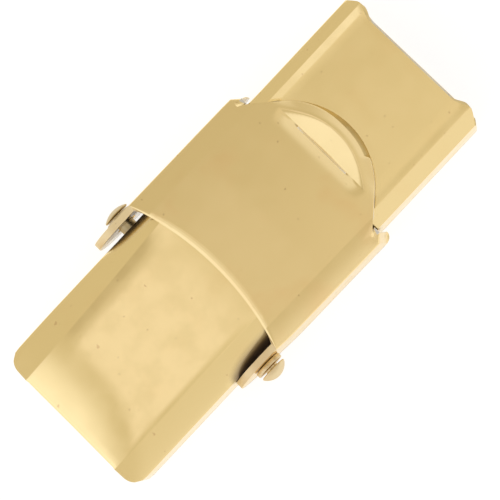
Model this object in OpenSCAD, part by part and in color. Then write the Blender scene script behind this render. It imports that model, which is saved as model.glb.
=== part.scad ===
// Cord clasp: a flat tube with an open mouth, and a riveted lever lid that grips the cords inside it.
// +X runs along the clasp towards the mouth, +Z is up, and the origin is on the surface that it lies
// on, below its middle.

/* [Sheet metal] */
// Thickness of the body's and the lid's sheet
sheet_t = 0.25; // [0.2:0.01:0.28]
// Running gap between the body and the lid, at the sides
side_gap = 0.17; // [0.15:0.01:0.25]
// Running gap between the body and the lid, on top
top_gap = 0.18; // [0.15:0.01:0.22]

/* [Body] */
// Length from the closed end to the mouth's corners
body_len = 16.9; // [16:0.1:18]
// Outside width
body_w = 6.1; // [5.8:0.05:6.4]
// Outside height
body_h = 2.8; // [2.7:0.05:3]
// Radius of the shoulders along the top
shoulder_r = 0.8; // [0.6:0.05:0.95]
// Radius of the edges along the underside
foot_r = 0.35; // [0.3:0.05:0.5]
// Radius of the closed end's corners, seen from above
tail_corner_r = 0.6; // [0.5:0.05:0.8]
// Length of the stretch where the top slopes down to the closed end
slope_len = 1.85; // [1.6:0.05:2.2]
// Radius of that slope, seen from the side
slope_r = 3.2; // [3:0.1:4]
// Radius of the nose below the slope, seen from the side
nose_r = 0.55; // [0.45:0.05:0.65]

/* [Mouth] */
// Set-back of the top's edge between the two corners
mouth_dip = 0.13; // [0.05:0.01:0.2]
// Half the width of the straight part of that edge
mouth_straight = 1.9; // [1.6:0.05:2]
// Half the width between the points of the two corners
mouth_point = 2.5; // [2.4:0.05:2.6]
// Set-back of the floor's edge
mouth_undercut = 0.38; // [0.2:0.02:0.5]
// Radius of the mouth's corners, seen from above
mouth_corner_r = 0.32; // [0.3:0.02:0.4]

/* [Lid] */
// Radius of the lid's outer shoulders
lid_shoulder_r = 0.65; // [0.5:0.05:0.8]
// X of the concave rear edge at its middle
rear_x = -1.15; // [-1.3:0.05:-1.1]
// Radius of the concave rear edge
rear_r = 10.6; // [9:0.2:13]
// X of the front end of the side walls
wall_front_x = 3.63; // [3.5:0.01:3.7]
// X of the notches where the walls meet the tongue
notch_x = 3.43; // [3.3:0.01:3.45]
// Distance of those notches from the middle
notch_y = 2.95; // [2.9:0.01:3]
// Radius of the lower front corners of the side walls
wall_corner_r = 0.5; // [0.3:0.05:0.7]

/* [Tongue] */
// X of the tongue's tip
tongue_tip_x = 5.22; // [5:0.02:5.4]
// Radius of the tongue's round end
tongue_r = 2.85; // [2.7:0.05:2.9]
// X of the thumbnail recess's straight edge
recess_x = 4.12; // [4.05:0.01:4.2]
// X of the recess's curved edge at its middle
recess_tip_x = 4.88; // [4.8:0.02:4.95]
// Radius of the recess's curved edge
recess_r = 2.7; // [2.5:0.05:2.8]
// Depth of the recess at its straight edge
recess_depth = 0.12; // [0.08:0.01:0.15]

/* [Hinge] */
// X of the rivets' axis
pin_x = -2.45; // [-2.6:0.05:-2.4]
// Height of the rivets' axis
pin_z = 1.5; // [1.45:0.05:1.55]
// Radius of the ears' round ends
ear_r = 1.15; // [1.05:0.05:1.2]
// Radius of the rivets' shanks
shank_r = 0.3; // [0.25:0.01:0.32]
// Running clearance of the ears on the shanks, on the radius
ear_clearance = 0.03; // [0.02:0.01:0.05]
// Clearance of the shanks in the body's walls, on the radius
wall_clearance = 0.01; // [0.01:0.01:0.02]
// Diameter of the domed heads
head_d = 1.0; // [0.9:0.05:1.1]
// Height of the domed heads
head_h = 0.41; // [0.35:0.02:0.5]
// Neck that shows between an ear and its head
neck_gap = 0.06; // [0.04:0.01:0.08]
// Diameter of the flattened inner ends
set_d = 0.84; // [0.8:0.02:0.9]
// Thickness of the flattened inner ends
set_h = 0.16; // [0.12:0.02:0.2]

/* [Grip] */
// X of the middle of the grip bar
grip_x = -0.35; // [-0.4:0.05:-0.3]
// Length of the grip bar along X
grip_l = 0.4; // [0.3:0.05:0.4]
// Width of the grip bar
grip_w = 3.0; // [2.6:0.1:3]
// How far the closed bar reaches below the body's inner roof
grip_bite = 0.35; // [0.25:0.05:0.4]
// X of the rear edge of the window that the bar swings through
window_rear_x = -1.0; // [-1.02:0.01:-0.98]
// X of the front edge of that window
window_front_x = 0.05; // [0:0.05:0.2]
// Width of that window
window_w = 3.3; // [3.2:0.1:3.6]

/* [Hidden] */
$fn = 64;
large_arc_fn = 180;
gold = [0.84, 0.72, 0.48];
pale_gold = [0.9, 0.79, 0.56];
over = 1;
tail_x = -body_len / 2;
mouth_x = body_len / 2;
mouth_edge_x = mouth_x - mouth_dip;
slope_x = tail_x + slope_len;
slope_z = body_h - slope_r;
nose_x = tail_x + nose_r;
nose_run = nose_x - slope_x;
nose_rise = sqrt(pow(slope_r - nose_r, 2) - pow(nose_run, 2));
nose_z = slope_z + nose_rise;
nose_angle = atan2(nose_rise, nose_run);
lid_w = body_w + 2 * (side_gap + sheet_t);
lid_under_z = body_h + top_gap;
lid_top_z = lid_under_z + sheet_t;
skirt_z = pin_z - ear_r;
tongue_cx = tongue_tip_x - tongue_r;
notch_far = norm([notch_x - tongue_cx, notch_y]);
tangent_angle = atan2(notch_y, notch_x - tongue_cx) - acos(tongue_r / notch_far);
tangent_x = tongue_cx + tongue_r * cos(tangent_angle);
tangent_y = tongue_r * sin(tangent_angle);
recess_cx = recess_tip_x - recess_r;
recess_slope = atan2(recess_depth, recess_tip_x - recess_x);
grip_z = body_h - sheet_t - grip_bite;
arc_steps = 10;

// Points of an arc in a plane, from one angle to another
function arc(cx, cy, r, from, to) = [
    for (i = [0 : arc_steps])
        let (a = from + (to - from) * i / arc_steps)
        [cx + r * cos(a), cy + r * sin(a)]
];

// A rectangle centred on X and standing on y0, with its own radius at the top and at the bottom corners
module rounded_slab(w, y0, y1, top_r, low_r) {
    half = w / 2;
    polygon(concat(
        arc(half - top_r, y1 - top_r, top_r, 0, 90),
        arc(-half + top_r, y1 - top_r, top_r, 90, 180),
        arc(-half + low_r, y0 + low_r, low_r, 180, 270),
        arc(half - low_r, y0 + low_r, low_r, 270, 360)));
}

// The body seen from its mouth, drawn in by inset on every side
module body_section(inset) {
    rounded_slab(body_w - 2 * inset, inset, body_h - inset, shoulder_r - inset, foot_r - inset);
}

// The body seen from its side, with the sloped top, the nose and the undercut mouth
module body_side(inset, front) {
    polygon(concat(
        arc(slope_x, slope_z, slope_r - inset, 90, nose_angle),
        arc(nose_x, nose_z, nose_r - inset, nose_angle, 180),
        arc(tail_x + foot_r, foot_r, foot_r - inset, 180, 270),
        [[front - mouth_undercut, inset], [front, nose_z], [front, body_h - inset]]));
}

// The body seen from above, with round corners at both ends
module body_plan(inset, front, front_r) {
    half = body_w / 2 - inset;
    tail_r = tail_corner_r - inset;
    polygon(concat(
        arc(front - front_r, half - front_r, front_r, 90, 0),
        arc(front - front_r, -half + front_r, front_r, 0, -90),
        arc(tail_x + inset + tail_r, -half + tail_r, tail_r, -90, -180),
        arc(tail_x + inset + tail_r, half - tail_r, tail_r, 180, 90)));
}

// The body's full form, drawn in by inset, with its mouth at front
module body_form(inset, front, front_r) {
    intersection() {
        translate([tail_x - over, 0, 0])
            rotate([90, 0, 90])
                linear_extrude(body_len + 4 * over) body_section(inset);
        rotate([90, 0, 0])
            linear_extrude(body_w + over, center = true) body_side(inset, front);
        linear_extrude(body_h) body_plan(inset, front, front_r);
    }
}

// A rod along Y between two distances from the middle, on the hinge's axis, on one side
module axis_rod(r, from, to, side) {
    translate([pin_x, side * from, pin_z])
        rotate([-90 * side, 0, 0])
            cylinder(r = r, h = to - from);
}

module body() {
    color(gold) difference() {
        body_form(0, mouth_x, mouth_corner_r);
        body_form(sheet_t, mouth_x + 2 * over, sheet_t);
        // the top's edge at the mouth, set back between its corners
        translate([0, 0, body_h / 2])
            linear_extrude(body_h)
                polygon([
                    [mouth_edge_x, -mouth_straight], [mouth_edge_x, mouth_straight],
                    [mouth_x, mouth_point], [mouth_x + over, mouth_point],
                    [mouth_x + over, -mouth_point], [mouth_x, -mouth_point]]);
        // the window for the grip bar
        translate([window_rear_x, -window_w / 2, body_h / 2])
            cube([window_front_x - window_rear_x, window_w, body_h]);
        for (side = [-1, 1])
            axis_rod(shank_r + wall_clearance, body_w / 2 - over, body_w / 2 + over, side);
    }
}

// The lid's bent sheet seen from its front, open below
module lid_section() {
    difference() {
        rounded_slab(lid_w, skirt_z - over, lid_top_z, lid_shoulder_r, sheet_t);
        rounded_slab(lid_w - 2 * sheet_t, skirt_z - 2 * over, lid_under_z, lid_shoulder_r - sheet_t, sheet_t);
        translate([-lid_w, skirt_z - 3 * over]) square([2 * lid_w, 3 * over]);
    }
}

// The lid seen from above: shoulders and tongue in front, the concave edge behind
module lid_plan() {
    difference() {
        union() {
            translate([rear_x - over, -lid_w]) square([notch_x - rear_x + over, 2 * lid_w]);
            for (side = [-1, 1])
                translate([0, side * (notch_y + lid_w) / 2])
                    square([2 * wall_front_x, lid_w - notch_y], center = true);
            polygon([
                [notch_x - over, -notch_y], [notch_x, -notch_y], [tangent_x, -tangent_y],
                [tangent_x, tangent_y], [notch_x, notch_y], [notch_x - over, notch_y]]);
            translate([tongue_cx, 0]) circle(tongue_r);
        }
        translate([rear_x - rear_r, 0]) circle(rear_r, $fn = large_arc_fn);
    }
}

// The side walls seen from their side, with a round lower corner in front
module wall_side() {
    difference() {
        translate([rear_x - over, skirt_z - over])
            square([tongue_tip_x - rear_x + 2 * over, lid_top_z + 2 * over]);
        translate([wall_front_x - wall_corner_r, skirt_z]) difference() {
            translate([0, -over]) square([2 * over, wall_corner_r + over]);
            translate([0, wall_corner_r]) circle(wall_corner_r);
        }
    }
}

// The thumbnail recess: deep at its straight edge and rising to its curved one
module nail_recess() {
    intersection() {
        translate([recess_cx, 0, lid_under_z]) cylinder(r = recess_r, h = sheet_t + over);
        translate([recess_x, -recess_r, lid_top_z - recess_depth])
            rotate([0, -recess_slope, 0]) cube([2 * over, 2 * recess_r, over]);
        translate([recess_x, -recess_r, lid_under_z]) cube([over, 2 * recess_r, 2 * over]);
    }
}

module ear(side) {
    inner = lid_w / 2 - sheet_t;
    axis_rod(ear_r, inner, inner + sheet_t, side);
    translate([pin_x, side * (inner + sheet_t / 2) - sheet_t / 2, skirt_z])
        cube([rear_x - pin_x, sheet_t, 2 * ear_r]);
}

module lid() {
    color(gold) difference() {
        union() {
            intersection() {
                translate([rear_x - over, 0, 0])
                    rotate([90, 0, 90]) linear_extrude(tongue_tip_x - rear_x + 2 * over) lid_section();
                linear_extrude(lid_top_z + over) lid_plan();
                rotate([90, 0, 0]) linear_extrude(2 * lid_w, center = true) wall_side();
            }
            for (side = [-1, 1]) ear(side);
            translate([grip_x - grip_l / 2, -grip_w / 2, grip_z])
                cube([grip_l, grip_w, lid_under_z + sheet_t / 2 - grip_z]);
        }
        nail_recess();
        for (side = [-1, 1])
            axis_rod(shank_r + ear_clearance, lid_w / 2 - over / 2, lid_w / 2 + over, side);
    }
}

// A rivet: domed head outside the ear, shank, and a flattened end inside the body
module rivet(side) {
    head_y = lid_w / 2 + neck_gap;
    inner_y = body_w / 2 - sheet_t - wall_clearance;
    dome_r = (pow(head_d / 2, 2) + pow(head_h, 2)) / (2 * head_h);
    color(pale_gold) union() {
        axis_rod(shank_r, inner_y - set_h, head_y + head_h / 4, side);
        axis_rod(set_d / 2, inner_y - set_h, inner_y, side);
        intersection() {
            axis_rod(head_d / 2, head_y, head_y + head_h, side);
            translate([pin_x, side * (head_y + head_h - dome_r), pin_z]) sphere(dome_r);
        }
    }
}

module rivet_left() {
    rivet(1);
}

module rivet_right() {
    rivet(-1);
}

body();
lid();
rivet_left();
rivet_right();
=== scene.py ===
"""Cord clasp: looks, studio and camera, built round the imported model.

The clasp has a flat tubular body, a riveted lever lid that straddles it, and two domed rivets. Every piece is
worked from sheet or turned from a profile in millimetres, and is scaled to metres when it becomes an object.
"""

import logging
import math
from bisect import bisect_right
from dataclasses import dataclass, field
from enum import Enum
from functools import cached_property
from itertools import accumulate, pairwise

import bmesh
import bpy
from mathutils import Matrix, Vector

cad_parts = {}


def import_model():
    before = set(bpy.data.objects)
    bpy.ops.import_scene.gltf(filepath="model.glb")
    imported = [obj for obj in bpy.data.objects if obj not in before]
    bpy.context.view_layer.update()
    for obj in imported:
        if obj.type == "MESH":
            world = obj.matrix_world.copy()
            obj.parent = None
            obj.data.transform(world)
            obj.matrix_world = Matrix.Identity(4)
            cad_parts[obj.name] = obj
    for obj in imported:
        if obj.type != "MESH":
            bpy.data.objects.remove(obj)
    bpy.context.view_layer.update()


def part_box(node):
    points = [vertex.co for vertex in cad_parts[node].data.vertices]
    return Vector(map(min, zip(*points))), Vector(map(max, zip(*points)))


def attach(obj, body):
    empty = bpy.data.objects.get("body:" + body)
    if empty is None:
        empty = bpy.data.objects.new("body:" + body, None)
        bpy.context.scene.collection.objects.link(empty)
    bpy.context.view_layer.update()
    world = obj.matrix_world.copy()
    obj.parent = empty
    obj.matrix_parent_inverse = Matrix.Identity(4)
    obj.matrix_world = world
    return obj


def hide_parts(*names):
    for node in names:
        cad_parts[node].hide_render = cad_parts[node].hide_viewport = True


Pair = tuple[float, float]
Colour = tuple[float, float, float]

log = logging.getLogger("cord_clasp")
MM = 0.001
TINY = 1e-5
QUARTER = math.pi / 2
ROUND_STEPS = 48


class Side(Enum):
    """The side of the clasp that a rivet stands on, seen from its closed end."""

    LEFT = 1
    RIGHT = -1


class Slot(Enum):
    """The record's material slots."""

    BODY = "body_plate"
    LID = "lid_plate"
    RIVET = "rivet_plate"


class Coat(Enum):
    """Where each finish of a sheet piece goes; the last two are the lid's only: a worn rim darkened with
    painted shade, and painted highlights.
    """

    OUTSIDE = 0
    INSIDE = 1
    EDGE = 2
    WORN_SHADED = 3
    PAINTED_HIGHLIGHT = 4


def ease(t: float) -> float:
    """Smooth step from 0 to 1, flat at both ends."""
    t = min(max(t, 0.0), 1.0)
    return t * t * (3 - 2 * t)


@dataclass(frozen=True)
class Ramp:
    """A smooth step from 0 to 1: where it begins, and how long it is, negative where it runs back."""

    start: float
    length: float

    def at(self, place: float) -> float:
        """How much of the step is done at a place."""
        return ease((place - self.start) / self.length)


def arc(cx: float, cy: float, radius: float, start: float, stop: float, steps: int) -> list[Pair]:
    """Points along an arc in a plane.

    Args:
        cx: First coordinate of the centre.
        cy: Second coordinate of the centre.
        radius: Radius of the arc.
        start: First angle, in degrees.
        stop: Last angle, in degrees.
        steps: Number of equal steps.

    Returns:
        The points, both ends included.
    """
    turns = [math.radians(start + (stop - start) * i / steps) for i in range(steps + 1)]
    return [(cx + radius * math.cos(t), cy + radius * math.sin(t)) for t in turns]


def cut_across(bm: bmesh.types.BMesh, axis: int, places: list[float]) -> None:
    """Cuts every face of a mesh along planes square to an axis.

    Args:
        bm: The mesh.
        axis: 0, 1 or 2 for X, Y or Z.
        places: Where the planes cross the axis.
    """
    normal = Vector((0, 0, 0))
    normal[axis] = 1
    for place in places:
        whole = bm.verts[:] + bm.edges[:] + bm.faces[:]
        bmesh.ops.bisect_plane(bm, geom=whole, plane_co=normal * place, plane_no=normal, dist=TINY)


def drawn_on(
    bm: bmesh.types.BMesh, edges: list[bmesh.types.BMEdge]
) -> tuple[list[bmesh.types.BMVert], list[bmesh.types.BMEdge]]:
    """Grows a new strip of faces from a run of edges.

    Args:
        bm: The mesh.
        edges: The run.

    Returns:
        The new points, still where the old ones are, and the new edges between them.
    """
    grown = bmesh.ops.extrude_edge_only(bm, edges=edges)["geom"]
    points = [part for part in grown if isinstance(part, bmesh.types.BMVert)]
    lines = [part for part in grown if isinstance(part, bmesh.types.BMEdge)]
    new = set(points)
    return points, [line for line in lines if new.issuperset(line.verts)]


def spaced(start: float, stop: float, step: float) -> list[float]:
    """Evenly spaced places between two ends, without the ends themselves.

    Args:
        start: First end.
        stop: Last end.
        step: The widest spacing wanted.

    Returns:
        The places between the ends.
    """
    count = max(int(math.ceil((stop - start) / step)), 1)
    return [start + (stop - start) * i / count for i in range(1, count)]


@dataclass(frozen=True)
class Bend:
    """The curve that a sheet is bent round at a shoulder: a straight slope mixed with a quarter ellipse."""

    width: float
    depth: float
    straight: float
    steps: int = 60

    @cached_property
    def lengths(self) -> list[float]:
        """Length of the outer face from the bend's start to each step."""
        points = [self.at_turn(QUARTER * i / self.steps) for i in range(self.steps + 1)]
        return [0.0, *accumulate(math.dist(first, second) for first, second in pairwise(points))]

    @property
    def length(self) -> float:
        """Length of the whole outer face."""
        return self.lengths[-1]

    def at_turn(self, turn: float) -> Pair:
        """Place on the curve, across and down from the bend's start.

        Args:
            turn: The ellipse's angle, 0 at the bend's start.

        Returns:
            The distances across and down.
        """
        across = math.sin(turn)
        down = self.straight * across + (1 - self.straight) * (1 - math.cos(turn))
        return self.width * across, self.depth * down

    def lean_at(self, turn: float) -> float:
        """Angle between the curve's normal and straight up."""
        down = self.straight * math.cos(turn) + (1 - self.straight) * math.sin(turn)
        return math.atan2(self.depth * down, self.width * math.cos(turn))

    def turn_at(self, run: float) -> float:
        """Turns a length along the outer face into the ellipse's angle.

        Args:
            run: The length from the bend's start.

        Returns:
            The angle, a quarter turn at most.
        """
        if run >= self.length:
            return QUARTER
        i = bisect_right(self.lengths, run) - 1
        part = (run - self.lengths[i]) / (self.lengths[i + 1] - self.lengths[i])
        return QUARTER * (i + part) / self.steps

    def run_at(self, across: float) -> float:
        """Length along the outer face at a distance across.

        Args:
            across: The distance from the bend's start, less than its width.

        Returns:
            The length.
        """
        part = math.asin(across / self.width) / QUARTER * self.steps
        i = min(int(part), self.steps - 1)
        return self.lengths[i] + (part - i) * (self.lengths[i + 1] - self.lengths[i])


class Workbench:
    """Turns finished meshes into objects, and does the work that all pieces share."""

    @staticmethod
    def make(name: str, bm: bmesh.types.BMesh) -> bpy.types.Object:
        """Makes an object at the origin from a mesh in millimetres.

        Args:
            name: Name of the piece.
            bm: The mesh, which is freed.

        Returns:
            The new object, with smooth faces.
        """
        bmesh.ops.scale(bm, vec=(MM, MM, MM), verts=bm.verts)
        mesh = bpy.data.meshes.new(name)
        for face in bm.faces:
            face.smooth = True
        bm.to_mesh(mesh)
        bm.free()
        piece = bpy.data.objects.new(name, mesh)
        bpy.context.scene.collection.objects.link(piece)
        return piece

    @staticmethod
    def settle(piece: bpy.types.Object) -> None:
        """Applies all the modifiers of a piece to its mesh.

        Args:
            piece: The object.
        """
        graph = bpy.context.evaluated_depsgraph_get()
        done = bpy.data.meshes.new_from_object(piece.evaluated_get(graph))
        old = piece.data
        piece.modifiers.clear()
        piece.data = done
        bpy.data.meshes.remove(old)
        done.name = piece.name

    @staticmethod
    def thicken(piece: bpy.types.Object, inner: list[Vector], sheet_mm: float) -> None:
        """Gives a sheet its thickness: Solidify makes the inner face, and its points go where they are told.

        Args:
            piece: The object, a sheet whose normals point outwards, with its finishes in the order of Coat.
            inner: Where each point's partner on the inner face belongs, in millimetres.
            sheet_mm: Thickness of the metal.
        """
        solid = piece.modifiers.new("sheet", "SOLIDIFY")
        solid.thickness = sheet_mm * MM
        solid.offset = -1
        solid.material_offset = Coat.INSIDE.value
        solid.material_offset_rim = Coat.EDGE.value
        Workbench.settle(piece)
        for vert, place in zip(piece.data.vertices[len(inner):], inner, strict=True):
            vert.co = place * MM

    @staticmethod
    def combine(piece: bpy.types.Object, other: bpy.types.Object, operation: str) -> None:
        """Cuts one solid from another, or joins them, and removes the second.

        Args:
            piece: The object that stays.
            other: The object that is used up.
            operation: DIFFERENCE or UNION.
        """
        boolean = piece.modifiers.new("combine", "BOOLEAN")
        boolean.operation = operation
        boolean.solver = "EXACT"
        boolean.object = other
        Workbench.settle(piece)
        bpy.data.objects.remove(other)

    @staticmethod
    def soften(
        piece: bpy.types.Object, width_mm: float, limit_deg: float, segments: int = 3,
        keep_creases: bool = False,
    ) -> None:
        """Rounds the sheared edges of a piece and evens its shading.

        Args:
            piece: The object.
            width_mm: Width of the rounding.
            limit_deg: Only edges sharper than this are rounded.
            segments: Steps across the rounding.
            keep_creases: Whether edges that are marked sharp stay so.
        """
        bevel = piece.modifiers.new("edges", "BEVEL")
        bevel.width = width_mm * MM
        bevel.segments = segments
        bevel.limit_method = "ANGLE"
        bevel.angle_limit = math.radians(limit_deg)
        bevel.use_clamp_overlap = True
        bevel.harden_normals = False
        shading = piece.modifiers.new("shading", "WEIGHTED_NORMAL")
        shading.mode = "FACE_AREA"
        shading.weight = 50
        shading.keep_sharp = keep_creases
        Workbench.settle(piece)


@dataclass(frozen=True)
class Grain:
    """A noise pattern: its scale per millimetre, its detail, the band of it that shows, and its stretch."""

    scale: float
    detail: float
    low: float = 0.0
    high: float = 1.0
    stretch: tuple[float, float, float] = (1.0, 1.0, 1.0)


@dataclass
class Wiring:
    """Adds the nodes of one material or world and joins them."""

    tree: bpy.types.NodeTree
    coordinates: str = "Object"

    @cached_property
    def place(self) -> bpy.types.NodeSocket:
        """The coordinates that the patterns follow."""
        return self.tree.nodes.new("ShaderNodeTexCoord").outputs[self.coordinates]

    def feed(self, node: bpy.types.Node, inputs: dict[int | str, object]) -> None:
        """Feeds the sockets of a node.

        Args:
            node: The node.
            inputs: What each socket gets: another node's output, or a fixed value.
        """
        for socket, value in inputs.items():
            if isinstance(value, bpy.types.NodeSocket):
                self.tree.links.new(value, node.inputs[socket])
            else:
                node.inputs[socket].default_value = value

    def add(self, kind: str, inputs: dict[int | str, object], **options: str) -> bpy.types.Node:
        """Adds a node.

        Args:
            kind: Its type.
            inputs: What each of its sockets gets.
            options: Its settings.

        Returns:
            The node.
        """
        node = self.tree.nodes.new(kind)
        for option, choice in options.items():
            setattr(node, option, choice)
        self.feed(node, inputs)
        return node

    def noise(self, grain: Grain) -> bpy.types.NodeSocket:
        """Lays a noise pattern over the piece.

        Args:
            grain: The pattern.

        Returns:
            Its strength at a place.
        """
        scale = [stretch / MM for stretch in grain.stretch]
        place = self.add("ShaderNodeMapping", {"Vector": self.place, "Scale": scale}).outputs["Vector"]
        sizes = {"Vector": place, "Scale": grain.scale, "Detail": grain.detail}
        return self.add("ShaderNodeTexNoise", sizes).outputs["Fac"]

    def banded(
        self, value: bpy.types.NodeSocket, low: float, high: float, out_low: float = 0.0,
        out_high: float = 1.0, curve: str = "SMOOTHSTEP",
    ) -> bpy.types.NodeSocket:
        """Maps one band of a number smoothly to another range.

        Args:
            value: The number.
            low: The band's first end.
            high: Its other end.
            out_low: What the first end becomes.
            out_high: What the other end becomes.
            curve: How it gets from one to the other.

        Returns:
            The new number.
        """
        ends = {"Value": value, "From Min": low, "From Max": high, "To Min": out_low, "To Max": out_high}
        return self.add("ShaderNodeMapRange", ends, interpolation_type=curve).outputs["Result"]

    def patches(self, grain: Grain, out_low: float = 0.0, out_high: float = 1.0) -> bpy.types.NodeSocket:
        """The band of a noise pattern that shows, mapped to a range."""
        return self.banded(self.noise(grain), grain.low, grain.high, out_low, out_high)

    def mixed(
        self, share: bpy.types.NodeSocket, first: Colour | bpy.types.NodeSocket, second: Colour
    ) -> bpy.types.NodeSocket:
        """Mixes two colours.

        Args:
            share: How much of the second shows, from 0 to 1.
            first: The colour below.
            second: The colour above.

        Returns:
            The mixed colour.
        """
        below = first if isinstance(first, bpy.types.NodeSocket) else (*first, 1)
        return self.add("ShaderNodeMix", {0: share, 6: below, 7: (*second, 1)}, data_type="RGBA").outputs[2]

    def worked(
        self, operation: str, first: bpy.types.NodeSocket, second: bpy.types.NodeSocket | float = 0.0
    ) -> bpy.types.NodeSocket:
        """Works out a number from one or two others."""
        return self.add("ShaderNodeMath", {0: first, 1: second}, operation=operation).outputs[0]


@dataclass(frozen=True)
class PaintedShade:
    """Painted shade beside the ears: a dark colour and a duller gloss where the ears shade the body's
    shoulders.

    Across the body it fades in outside a line, measured from a middle that is moved by the offset. Behind
    the front the line draws out. Along the body it fades in over the start's two places, and out over the
    end's.
    """

    colour: Colour = (0.2, 0.15, 0.11)
    roughness: float = 0.45
    offset: float = 0.12
    line: float = 2.59
    fade: float = 0.46
    front: float = -1.9
    draw: float = 0.05
    start: Pair = (-3.85, -3.5)
    end: Pair = (-1.4, -0.8)

    def pattern(self, wires: Wiring) -> bpy.types.NodeSocket:
        """Works out how much painted shade the metal has at a place.

        Args:
            wires: The material's nodes.

        Returns:
            The share, from 0 to 1.
        """
        split = wires.add("ShaderNodeSeparateXYZ", {0: wires.place})
        x, y = split.outputs["X"], split.outputs["Y"]
        wide = wires.worked("ABSOLUTE", wires.worked("SUBTRACT", y, self.offset * MM))
        behind = wires.worked("MINIMUM", wires.worked("SUBTRACT", x, self.front * MM), 0.0)
        drawn = wires.worked("MULTIPLY", wires.worked("POWER", behind, 3.0), self.draw / MM**2)
        past = wires.worked("ADD", wide, drawn)
        across = wires.banded(past, self.line * MM, (self.line + self.fade) * MM)
        begun = wires.banded(x, self.start[0] * MM, self.start[1] * MM)
        ended = wires.banded(x, self.end[0] * MM, self.end[1] * MM, 1.0, 0.0)
        return wires.worked("MULTIPLY", across, wires.worked("MULTIPLY", begun, ended))


@dataclass(frozen=True)
class Plate:
    """A polished plated finish, with faint blotches, fine polishing marks and a few specks, and painted shade
    where one is given.
    """

    name: str
    colour: Colour
    blotch: Colour
    speck: Colour
    gloss_low: float = 0.13
    gloss_high: float = 0.2
    ripple: float = 0.025
    edge: Colour = (0.97, 0.93, 0.86)
    # Painted shade beside the ears, for the finishes that have it.
    painted_shade: PaintedShade | None = None
    blotches: Grain = Grain(0.55, 3.0, 0.5, 0.72)
    specks: Grain = Grain(5.0, 1.0, 0.74, 0.8)
    speck_share: float = 0.6
    sheen: Grain = Grain(1.2, 4.0, 0.35, 0.7)
    hairlines: Grain = Grain(2.2, 5.0, stretch=(0.4, 1.0, 1.0))
    hairline_depth: float = 0.02

    def material(self) -> bpy.types.Material:
        """Builds the finish as a node material.

        Returns:
            The material, reading Object coordinates.
        """
        made = bpy.data.materials.new(self.name)
        made.use_nodes = True
        wires = Wiring(made.node_tree)
        blotched = wires.mixed(wires.patches(self.blotches), self.colour, self.blotch)
        colour = wires.mixed(wires.patches(self.specks, 0.0, self.speck_share), blotched, self.speck)
        gloss = wires.patches(self.sheen, self.gloss_low, self.gloss_high)
        # Painted shade: the colour goes dark and the gloss duller where the ears shade the metal.
        if self.painted_shade:
            dark = self.painted_shade.pattern(wires)
            colour = wires.mixed(dark, colour, self.painted_shade.colour)
            duller = wires.worked("MULTIPLY", dark, self.painted_shade.roughness - self.gloss_high)
            gloss = wires.worked("ADD", gloss, duller)
        marks = wires.add("ShaderNodeBump", {
            "Strength": self.ripple, "Distance": self.hairline_depth * MM,
            "Height": wires.noise(self.hairlines),
        })
        wires.feed(made.node_tree.nodes["Principled BSDF"], {
            "Base Color": colour, "Metallic": 1.0, "Roughness": gloss, "Specular Tint": (*self.edge, 1),
            "Normal": marks.outputs["Normal"],
        })
        return made


# The body's finish carries the painted shade beside the ears.
GOLD_BODY = Plate(
    "gold_body", (0.965, 0.775, 0.405), (0.96, 0.757, 0.39), (0.72, 0.5, 0.26), ripple=0.015,
    edge=(0.95, 0.9, 0.8), painted_shade=PaintedShade(),
)
GOLD_LID = Plate(
    "gold_lid", (0.895, 0.71, 0.37), (0.885, 0.67, 0.34), (0.64, 0.45, 0.22), edge=(0.95, 0.88, 0.73)
)
GOLD_EDGE = Plate("gold_edge", (0.79, 0.64, 0.38), (0.74, 0.57, 0.33), (0.5, 0.36, 0.2), 0.45, 0.6)
# Painted shade: a darker gold for the tongue's worn rim and the body's cut edges, standing in for their dark
# reflections.
GOLD_WORN_SHADED = Plate("gold_worn_shaded", (0.68, 0.53, 0.24), (0.55, 0.42, 0.19), (0.35, 0.26, 0.11), 0.45, 0.6)
# Painted highlight: a pale gold for the tongue's bright edges and the step behind the recess.
GOLD_PAINTED_HIGHLIGHT = Plate("gold_painted_highlight", (1.0, 0.95, 0.82), (0.98, 0.9, 0.75), (0.9, 0.8, 0.6), 0.45, 0.6)
GOLD_RIVET = Plate("gold_rivet", (0.76, 0.62, 0.38), (0.70, 0.54, 0.31), (0.45, 0.33, 0.18), 0.3, 0.42)
# Painted shade: a darker copy of the rivet gold, which shades the left rivet.
GOLD_RIVET_SHADED = Plate("gold_rivet_shaded", (0.61, 0.5, 0.3), (0.48, 0.37, 0.21), (0.3, 0.22, 0.12), 0.32, 0.45)
WHITE_INSIDE = Plate("white_inside", (0.77, 0.75, 0.73), (0.68, 0.64, 0.6), (0.45, 0.4, 0.36), 0.2, 0.34)


@dataclass(frozen=True)
class Hinge:
    """The axis that the lid swings on, and where its two rivets really stand."""

    x: float = -2.45
    z: float = 1.5
    skew: float = 0.06

    def x_at(self, side: Side) -> float:
        """X of the rivet on one side."""
        return self.x + side.value * self.skew

    def drill(self, side: Side, radius: float, near: float, far: float) -> bpy.types.Object:
        """Makes a round rod for drilling the hole of one rivet.

        Args:
            side: The rivet's side.
            radius: Radius of the hole.
            near: The rod's end nearer the middle.
            far: Its other end.

        Returns:
            The rod.
        """
        bm = bmesh.new()
        place = Matrix.Translation((self.x_at(side), side.value * (near + far) / 2, self.z))
        bmesh.ops.create_cone(
            bm, cap_ends=True, segments=ROUND_STEPS, radius1=radius, radius2=radius, depth=far - near,
            matrix=place @ Matrix.Rotation(QUARTER, 4, "X"),
        )
        return Workbench.make("drill", bm)


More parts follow.
